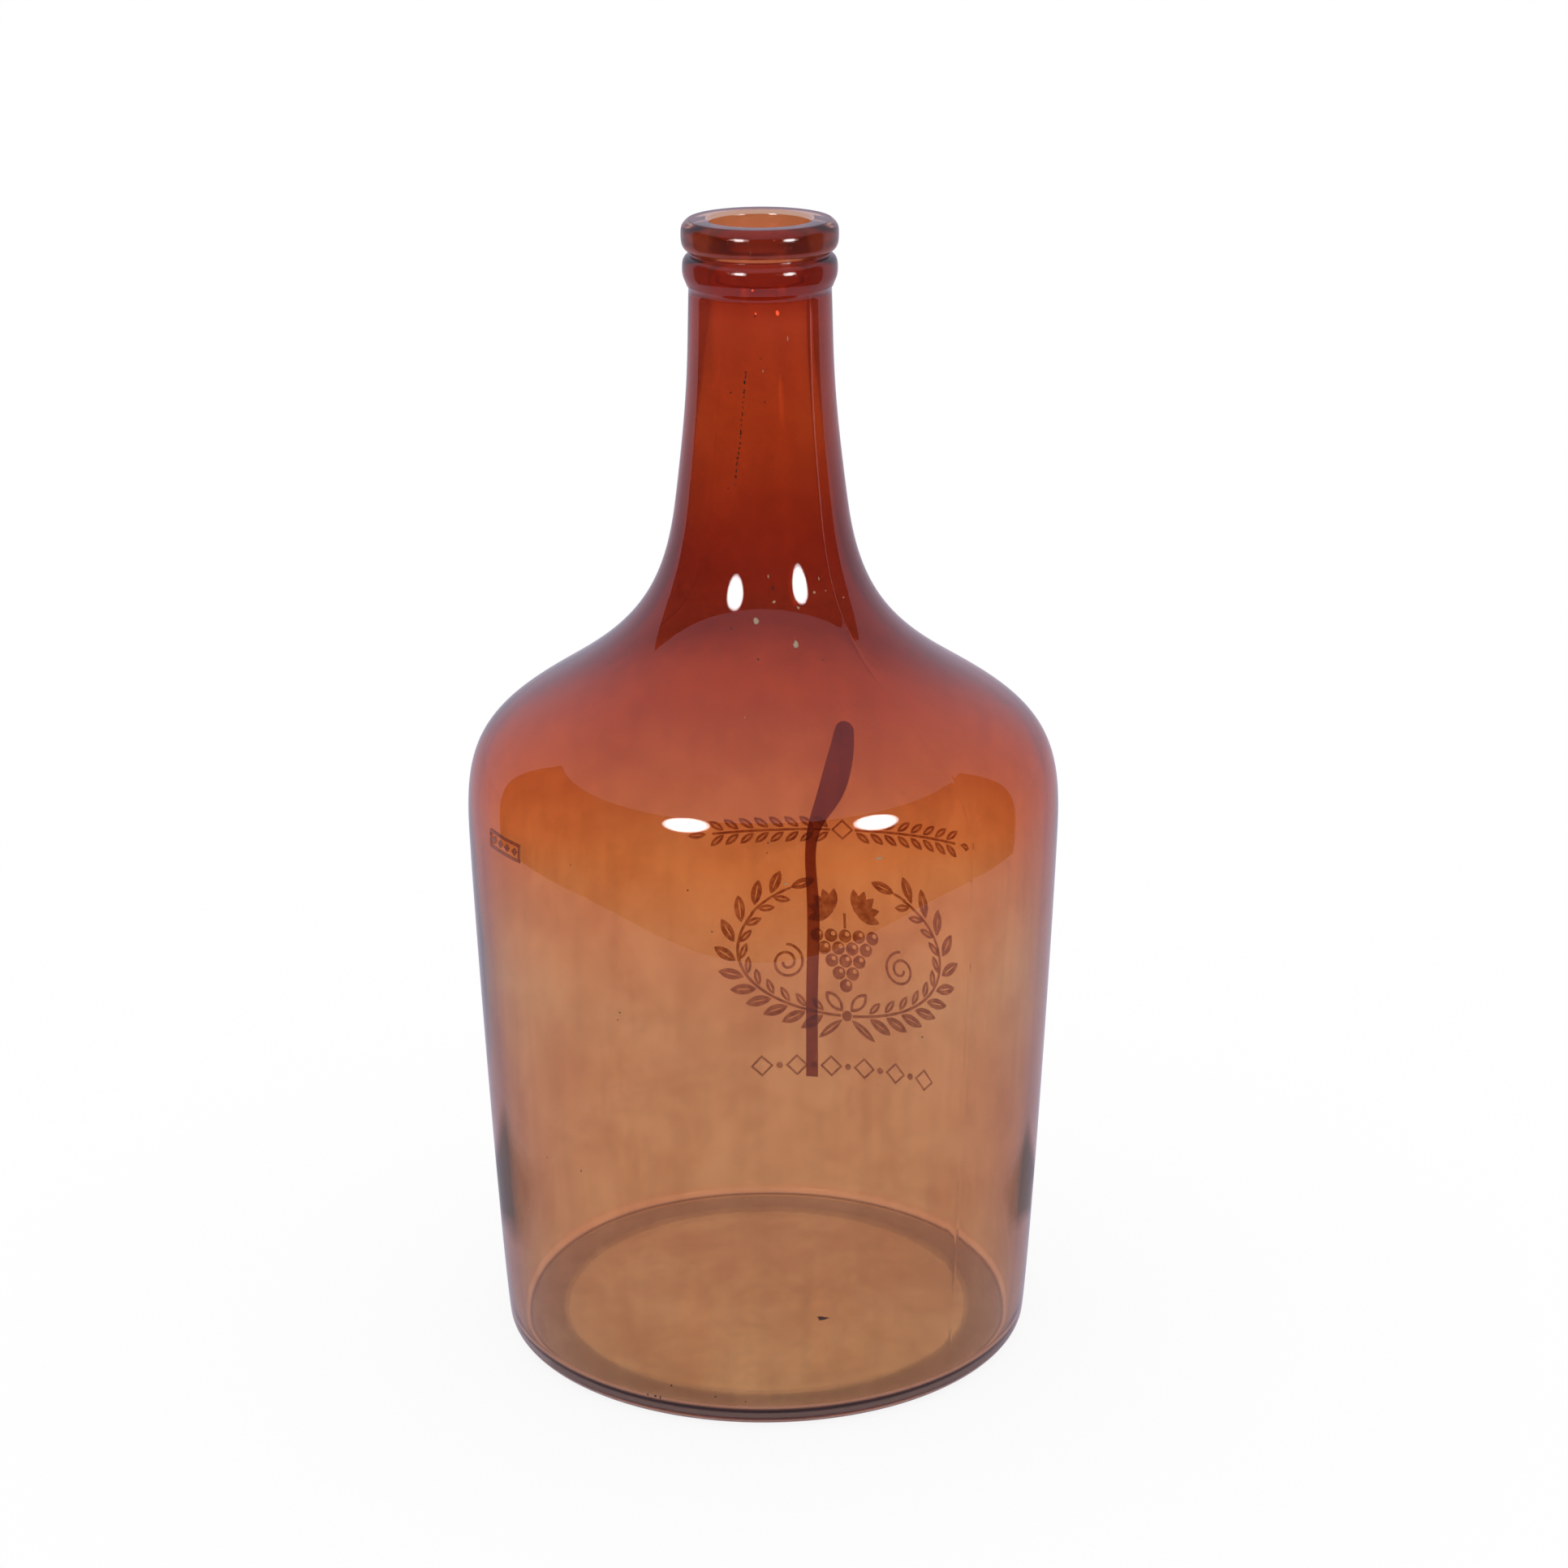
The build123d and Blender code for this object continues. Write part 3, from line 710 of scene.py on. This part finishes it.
def foot_bands(material, place, under, stops, top):
    """Bands round the axis, below a height, over another colour.

    Each stop is (distance from the axis, colour, cover).
    """
    along = split_up(material, place)
    flat = node(material, "ShaderNodeCombineXYZ")
    reach = node(material, "ShaderNodeVectorMath", operation="LENGTH")
    wire(material, along["X"], flat.inputs["X"], along["Y"], flat.inputs["Y"],
         flat.outputs[0], reach.inputs[0])
    share = calculated(material, "DIVIDE", reach.outputs["Value"], FOOT_RADIUS)
    stops = [(radius / FOOT_RADIUS, colour, cover) for radius, colour, cover in stops]
    band, cover = ramp(material, share, stops)
    low = ranged(material, along["Z"], top, top - BAND_FADE, 0, 1)
    return mixed(material, calculated(material, "MULTIPLY", low, cover), under, band)


def clear_glass():
    """Clear glass, amber in the thick mouth, painted shadow grey on its worn foot, with an uneven
    polish.
    """
    material, shader = see_through("clear_glass", GLASS_IOR)
    place = own_place(material)
    height = split_up(material, place)["Z"]
    worn = ranged(material, height, 0, WORN_HEIGHT, RING_ROUGHNESS, 0)
    haze = ranged(material, height, STRING_FOOT - MM, STRING_TOP, 0, MOUTH_ROUGHNESS,
                  interpolation_type="SMOOTHSTEP")
    wire(material, calculated(material, "ADD", worn, haze), shader.inputs["Roughness"])
    cloud = noise(material, place, Scale=26.0, Detail=2.0)
    bump = node(material, "ShaderNodeBump", Strength=0.05, Distance=0.0006)
    wire(material, cloud, bump.inputs["Height"], bump.outputs[0], shader.inputs["Normal"])
    cast = between(material, cloud, *GLASS_CAST)
    colour = multiplied(material, cast, by_height(material, place, MOUTH_AMBER))
    # Painted contact shadow in grey on the bearing ring and a painted brown tone on the heel
    bearing = FOOT_RADIUS - HEEL_RADIUS
    edge = bearing - BEARING_WIDTH
    stops = ((edge - MM, RING_PAINTED_SHADOW, 0), (edge, RING_PAINTED_SHADOW, 1), (bearing - MM, RING_PAINTED_SHADOW, 1),
             (bearing + MM, HEEL_PAINTED_LIGHT_TONE, 1))
    foot = foot_bands(material, place, (1, 1, 1), stops, HEEL_RADIUS + BAND_FADE)
    wire(material, multiplied(material, colour, foot), shader.inputs["Base Color"])
    return material


def mark_glass():
    """The raised mark: glass in painted shade, as its thick edges look darker than the wall, a
    little uneven.
    """
    material, shader = see_through("mark_glass", GLASS_IOR, MARK_ROUGHNESS)
    cloud = noise(material, own_place(material), Scale=400.0, Detail=2.0)
    wire(material, between(material, cloud, *MARK_PAINTED_SHADE), shader.inputs["Base Color"])
    return material


def tint():
    """See-through tint: its colour deepens with height, with cloudy patches and soft streaks."""
    material, shader = see_through("tint", MATCHED_IOR)
    place = own_place(material)
    cloud = noise(material, place, Scale=34.0, Detail=5.0, Roughness=0.6, Distortion=0.6)
    streak = noise(material, stretched(material, place, STREAK_STRETCH), Scale=170.0, Detail=3.0)
    colour = multiplied(material, by_height(material, place, TINT_BY_HEIGHT),
                        between(material, cloud, *TINT_CLOUDS))
    colour = multiplied(material, colour, between(material, streak, *TINT_STREAKS))
    # Painted shade and painted highlight: a dark line and a light band round the floor's corner
    corner = FOOT_RADIUS - WALL - FLOOR_CORNER
    stops = [(corner + off * MM, line, cover) for off, line, cover in CORNER_PAINTED_LINES]
    colour = foot_bands(material, place, colour, stops, CORNER_PAINTED_LINES_TOP)
    wire(material, colour, shader.inputs["Base Color"])
    return material


def dark_tint():
    """Thick dried tint: dark maroon, with slow streaks along the run."""
    material, shader = see_through("dark_tint", MATCHED_IOR)
    place = stretched(material, own_place(material), RUN_STRETCH)
    cloud = noise(material, place, Scale=160.0, Detail=3.0)
    wire(material, between(material, cloud, *RUN_COLOURS), shader.inputs["Base Color"])
    return material


def ink():
    """Printed brown ink: a film that lets some brown light through, worn and uneven."""
    material, shader = see_through("ink", MATCHED_IOR, through=INK_THROUGH)
    cloud = noise(material, own_place(material), Scale=420.0, Detail=4.0, Roughness=0.65)
    wire(material, between(material, cloud, *INK_COLOURS), shader.inputs["Base Color"],
         ranged(material, cloud, *INK_NOISE_SPAN, *INK_COVER), shader.inputs["Alpha"])
    return material


def speck_colour(name, dark, light):
    """A matt speck whose colour varies from grain to grain, with its shader."""
    material, shader = new_material(name)
    shader.inputs["Roughness"].default_value = SPECK_ROUGHNESS
    cloud = noise(material, own_place(material), Scale=300.0, Detail=2.0)
    wire(material, between(material, cloud, dark, light), shader.inputs["Base Color"])
    return material, shader


def dress(names, material):
    """Gives CAD nodes that stay a material."""
    for name in names:
        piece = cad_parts[name]
        piece.data.materials.clear()
        piece.data.materials.append(material)


def turned(points):
    """Places given as seen from the photo's camera, turned about Z into the part's frame."""
    a = radians(VIEW_TURN)
    points = np.atleast_2d(np.array(points, float))
    x = points[:, 0] * cos(a) - points[:, 1] * sin(a)
    y = points[:, 0] * sin(a) + points[:, 1] * cos(a)
    return np.stack((x, y, points[:, 2]), 1)


def floor():
    """A wide pale floor a hair under the glass, lit a little from below as a light table is."""
    corners = [(x * FLOOR_REACH, y * FLOOR_REACH, -FLOOR_DROP)
               for x, y in ((-1, -1), (1, -1), (1, 1), (-1, 1))]
    made = new_object("floor", corners, [(0, 1, 2, 3)])
    material, shader = new_material("floor_white")
    shader.inputs["Base Color"].default_value = (*FLOOR_GREY, 1)
    shader.inputs["Roughness"].default_value = 1
    shader.inputs["Specular IOR Level"].default_value = 0
    shader.inputs["Emission Strength"].default_value = 1
    glow = mixed(material, in_gloss(material), FLOOR_GLOW, FLOOR_GLOSS)
    wire(material, glow, shader.inputs["Emission Color"])
    made.data.materials.append(material)
    return made


def in_gloss(material):
    """One for light that was mirrored on its way to the camera, zero for the rest."""
    path = node(material, "ShaderNodeLightPath")
    return calculated(material, "GREATER_THAN", path.outputs["Glossy Depth"], 0.5)


def seen_in_gloss(name, strength, within, colour):
    """A card's light, which shows only in gloss: its strength outside the glass and within it.

    Where the card's "cover" is low it lets the room behind it through.
    """
    material = bpy.data.materials.new(name)
    material.use_nodes = True
    material.node_tree.nodes.clear()
    material.cycles.emission_sampling = "NONE"
    path = node(material, "ShaderNodeLightPath")
    shape = node(material, "ShaderNodeAttribute", attribute_name="cover")
    clear = node(material, "ShaderNodeBsdfTransparent")
    glow = node(material, "ShaderNodeEmission", Color=(*colour, 1))
    level = ranged(material, path.outputs["Transmission Depth"], 0, 1, strength, within)
    cover = calculated(material, "MULTIPLY", in_gloss(material), shape.outputs["Fac"])
    mix = node(material, "ShaderNodeMixShader")
    out = node(material, "ShaderNodeOutputMaterial")
    wire(material, level, glow.inputs["Strength"], cover, mix.inputs[0],
         clear.outputs[0], mix.inputs[1], glow.outputs[0], mix.inputs[2],
         mix.outputs[0], out.inputs["Surface"])
    return material


def card(name, places, faces, covers, strength, within, colour=(1, 1, 1)):
    """A studio card, placed as seen from the camera, that neither the camera nor the floor sees.

    Each corner's cover says how fully the card hides what is behind it.
    """
    made = new_object(name, turned(places).tolist(), faces)
    layer = made.data.attributes.new("cover", "FLOAT", "POINT")
    layer.data.foreach_set("value", covers)
    made.data.materials.append(seen_in_gloss(name, strength, within, colour))
    made.visible_camera = False
    made.visible_diffuse = False
    made.visible_shadow = False
    return made


def softbox(name, azimuth, elevation):
    """A round softbox that faces the bottle and fades at its rim, placed by its direction."""
    a, e = radians(azimuth), radians(elevation)
    away = np.array((sin(a) * cos(e), -cos(a) * cos(e), sin(e)))
    across = np.array((cos(a), sin(a), 0))
    up = np.cross(across, -away)
    up /= np.linalg.norm(up)
    middle = away * SOFTBOX_DISTANCE + np.array((0, 0, CARDS_MIDDLE))
    turns = SOFTBOX_TURNS
    angle = np.linspace(0, 2 * pi, turns, endpoint=False)[:, None]
    round_way = (np.cos(angle) * across + np.sin(angle) * up) * SOFTBOX_WIDTH / 2
    places = np.vstack([middle[None, :]]
                       + [middle + round_way * share for share, cover in SOFTBOX_RINGS])
    covers = np.concatenate([[1]] + [np.full(turns, cover) for share, cover in SOFTBOX_RINGS])
    faces = [(0, 1 + i, 1 + (i + 1) % turns) for i in range(turns)]
    for ring in range(len(SOFTBOX_RINGS) - 1):
        low = 1 + ring * turns
        high = low + turns
        faces += [(low + i, high + i, high + (i + 1) % turns, low + (i + 1) % turns)
                  for i in range(turns)]
    return card(name, places, faces, covers, SOFTBOX_GLOSS, SOFTBOX_WITHIN)


def dark_room():
    """The dark side of the room, in front of the bottle: a curved screen past the table's edge.

    Its distance is near + deeper (1 - cos a) / (1 - cos side), its top at one angle all along.
    """
    steps = DARK_ROOM_STEPS
    azimuth = np.radians(np.linspace(*DARK_ROOM_SPAN, steps + 1))
    bulge = (1 - np.cos(azimuth)) / (1 - cos(radians(DARK_ROOM_SIDE)))
    reach = DARK_ROOM_NEAR + DARK_ROOM_DEEPER * bulge
    foot = np.full(steps + 1, DARK_ROOM_FOOT)
    low = np.stack((reach * np.sin(azimuth), -reach * np.cos(azimuth), foot), 1)
    high = low.copy()
    high[:, 2] = CARDS_MIDDLE + reach * np.tan(np.radians(DARK_ROOM_TOP))
    faces = [(i, i + 1, steps + 2 + i, steps + 1 + i) for i in range(steps)]
    covers = np.ones(2 * (steps + 1))
    return card("dark_room", np.vstack((low, high)), faces, covers,
                DARK_ROOM_GLOSS, DARK_ROOM_WITHIN)


def floor_shade(name, side_sign, near, far, start, end):
    """A dark thing on the table that only the glass mirrors: a wavy patch with soft edges.

    Its near edge is near + wave (sin 9s + 0.4 sin 21s) - bend (y - start), s along its length.
    """
    y = np.linspace(start, end, SHADE_ROWS)[:, None]
    share = (y - start) / (end - start)
    wave = SHADE_WAVE * (np.sin(9 * share) + 0.4 * np.sin(21 * share))
    inner = near + wave - SHADE_BEND * (y - start)
    soft = SHADE_SOFT_SHARE * (far - near)
    x = side_sign * np.hstack((inner, inner + soft, far - soft + 0 * y, far + 0 * y))
    points = np.stack((x, y + 0 * x, SHADE_LIFT + 0 * x), -1).reshape(-1, 3)
    first = (np.arange(SHADE_ROWS - 1)[:, None] * 4 + np.arange(3)).reshape(-1, 1)
    faces = (first + np.array((0, 1, 5, 4))).tolist()
    fade = np.clip(np.sin(pi * share) * 2, 0, 1) * np.array((0, 1, 1, 0))
    return card(name, points, faces, fade.reshape(-1), SHADE_GLOSS, SHADE_GLOSS, SHADE_BLUE)


def white_surroundings():
    """Even white light from all around, while gloss shows the dimmer walls of the room."""
    world = bpy.data.worlds.new("white_studio")
    scene.world = world
    world.use_nodes = True
    background = world.node_tree.nodes["Background"]
    background.inputs["Strength"].default_value = 1.0
    walls = mixed(world, in_gloss(world), (1, 1, 1), ROOM_GLOSS)
    wire(world, walls, background.inputs["Color"])


def photo_camera():
    """The camera at the photo's place: it looks down at the bottle from behind the print."""
    pitch, yaw, roll = (radians(a) for a in (CAMERA_PITCH, CAMERA_YAW, CAMERA_ROLL))
    ahead = np.array((sin(yaw) * cos(pitch), cos(yaw) * cos(pitch), -sin(pitch)))
    level = np.array((cos(yaw), -sin(yaw), 0))
    above = np.cross(level, ahead)
    right = cos(roll) * level + sin(roll) * above
    up = -sin(roll) * level + cos(roll) * above
    axes = turned((right, up, -ahead))
    place = turned((0, -CAMERA_DISTANCE, CAMERA_HEIGHT))[0]
    matrix = Matrix.Identity(4)
    for column in range(3):
        for row in range(3):
            matrix[row][column] = axes[column][row]
    matrix.translation = Vector(place)
    data = bpy.data.cameras.new("camera")
    data.sensor_width = CAMERA_SENSOR
    data.lens = CAMERA_LENS
    data.clip_start = CAMERA_CLIP
    made = bpy.data.objects.new("camera", data)
    scene.collection.objects.link(made)
    made.matrix_world = matrix
    scene.camera = made


def see_through_settings():
    """Enough bounces for both walls with their tint, and plain colours."""
    scene.cycles.max_bounces = BOUNCES
    scene.cycles.transmission_bounces = BOUNCES
    scene.cycles.glossy_bounces = BOUNCES
    scene.cycles.transparent_max_bounces = CLEAR_BOUNCES
    scene.view_settings.view_transform = "Standard"
    scene.view_settings.look = "None"


photo_camera()
see_through_settings()
white_surroundings()
floor()
dark_room()
for shade in FLOOR_SHADES:
    floor_shade(*shade)
for lamp in SOFTBOXES:
    softbox(*lamp)

glass = bottle_glass()
glass.data.materials.append(clear_glass())
dress(["tint_lining"], tint())
dress(["tint_run"], dark_tint())
dress([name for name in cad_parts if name.startswith("ink_")], ink())
dress(["shoulder_mark"], mark_glass())

speck_brown, _ = speck_colour("speck_brown", *SPECK_BROWN)
fleck_cream, _ = speck_colour("fleck_cream", *FLECK_CREAM)
# Painted highlights: red glints as small blobs in the wall that glow
painted_glint_red, painted_glint_shader = speck_colour("painted_glint_red", *GLINT_PAINTED_RED)
painted_glint_shader.inputs["Emission Color"].default_value = (*GLINT_PAINTED_GLOW, 1)
painted_glint_shader.inputs["Emission Strength"].default_value = GLINT_PAINTED_GLOW_STRENGTH
scattered_specks().data.materials.append(speck_brown)
floor_flake().data.materials.append(speck_brown)
blobs("cream_flecks", CREAM_FLECKS).data.materials.append(fleck_cream)
blobs("red_painted_glints", RED_PAINTED_GLINTS).data.materials.append(painted_glint_red)
